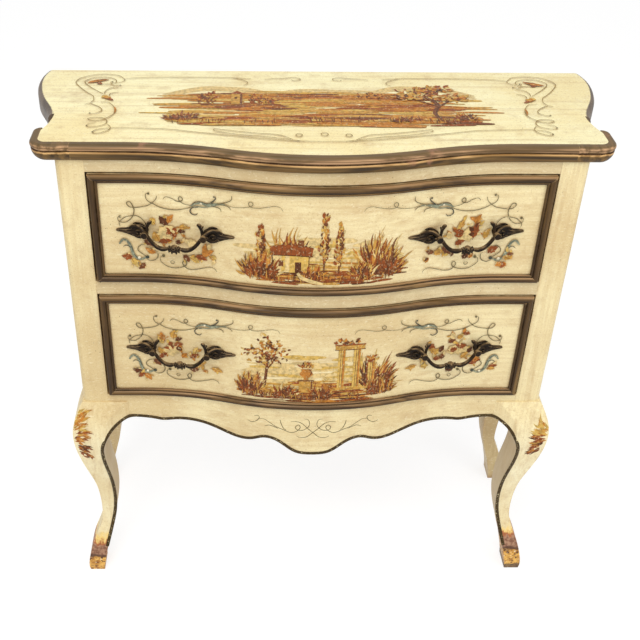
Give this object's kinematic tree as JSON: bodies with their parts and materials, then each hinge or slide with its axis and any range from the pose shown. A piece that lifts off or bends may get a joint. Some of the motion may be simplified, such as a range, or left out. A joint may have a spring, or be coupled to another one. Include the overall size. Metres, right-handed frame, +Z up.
{
  "type": "chest of drawers",
  "caption": "Painted serpentine-front chest on cabriole legs, with drawers on wooden runners and swinging bail pulls.",
  "frame": {"origin": "middle of the footprint at floor level", "axes": "+Z up, +Y to the back, +X to the right of a person facing the drawers"},
  "size_m": [0.864, 0.311, 0.853],
  "materials": {
    "cream_paint": "aged satin paint",
    "gilt_moulding": "worn bronze gilding",
    "bare_wood": "bare",
    "plywood": "bare",
    "antique_bronze": "dark patina",
    "steel": "dull"
  },
  "bodies": {
    "case": {"apron_rail": "cream_paint", "back_panel": "plywood", "back_screws": "steel", "bottom_back_rail": "bare_wood", "corner_blocks": "bare_wood", "drawer_stops": "bare_wood", "front_leg_left": "cream_paint", "front_leg_right": "cream_paint", "front_post_left": "cream_paint", "front_post_right": "cream_paint", "kicker_left": "bare_wood", "kicker_right": "bare_wood", "knee_brackets": "cream_paint", "leg_dowels": "bare_wood", "middle_rail": "cream_paint", "rear_leg_left": "cream_paint", "rear_leg_right": "cream_paint", "rear_post_left": "cream_paint", "rear_post_right": "cream_paint", "runner_lower_left": "bare_wood", "runner_lower_right": "bare_wood", "runner_upper_left": "bare_wood", "runner_upper_right": "bare_wood", "side_panel_left": "cream_paint", "side_panel_right": "cream_paint", "top_back_rail": "bare_wood", "top_board": "cream_paint", "top_moulding_front": "gilt_moulding", "top_moulding_left": "gilt_moulding", "top_moulding_right": "gilt_moulding", "top_rail": "cream_paint", "top_screws": "steel"},
    "upper_drawer": {"upper_drawer_back": "bare_wood", "upper_drawer_bottom": "plywood", "upper_drawer_front": "cream_paint", "upper_drawer_side_left": "bare_wood", "upper_drawer_side_right": "bare_wood", "upper_pull_nuts": "steel", "upper_pull_plates": "antique_bronze", "upper_pull_posts": "antique_bronze", "upper_trim_bottom": "gilt_moulding", "upper_trim_left": "gilt_moulding", "upper_trim_right": "gilt_moulding", "upper_trim_top": "gilt_moulding"},
    "lower_drawer": {"lower_drawer_back": "bare_wood", "lower_drawer_bottom": "plywood", "lower_drawer_front": "cream_paint", "lower_drawer_side_left": "bare_wood", "lower_drawer_side_right": "bare_wood", "lower_pull_nuts": "steel", "lower_pull_plates": "antique_bronze", "lower_pull_posts": "antique_bronze", "lower_trim_bottom": "gilt_moulding", "lower_trim_left": "gilt_moulding", "lower_trim_right": "gilt_moulding", "lower_trim_top": "gilt_moulding"},
    "lower_left_handle": {"lower_left_bail": "antique_bronze"},
    "lower_right_handle": {"lower_right_bail": "antique_bronze"},
    "upper_left_handle": {"upper_left_bail": "antique_bronze"},
    "upper_right_handle": {"upper_right_bail": "antique_bronze"}
  },
  "joints": [
    {"name": "upper_drawer_slide", "type": "slide", "parent": "case", "child": "upper_drawer", "axis": [0, -1, 0], "range_m": [0, 0.18]},
    {"name": "upper_left_bail_swing", "type": "hinge", "parent": "upper_drawer", "child": "upper_left_handle", "pos_m": [-0.21315, -0.12642, 0.71448], "axis": [-0.992, 0.1262, 0], "range_deg": [0, 110]},
    {"name": "upper_right_bail_swing", "type": "hinge", "parent": "upper_drawer", "child": "upper_right_handle", "pos_m": [0.21315, -0.12642, 0.71448], "axis": [-0.992, -0.1262, 0], "range_deg": [0, 110]},
    {"name": "lower_drawer_slide", "type": "slide", "parent": "case", "child": "lower_drawer", "axis": [0, -1, 0], "range_m": [0, 0.18]},
    {"name": "lower_left_bail_swing", "type": "hinge", "parent": "lower_drawer", "child": "lower_left_handle", "pos_m": [-0.21315, -0.12642, 0.50098], "axis": [-0.992, 0.1262, 0], "range_deg": [0, 110]},
    {"name": "lower_right_bail_swing", "type": "hinge", "parent": "lower_drawer", "child": "lower_right_handle", "pos_m": [0.21315, -0.12642, 0.50098], "axis": [-0.992, -0.1262, 0], "range_deg": [0, 110]}
  ]
}
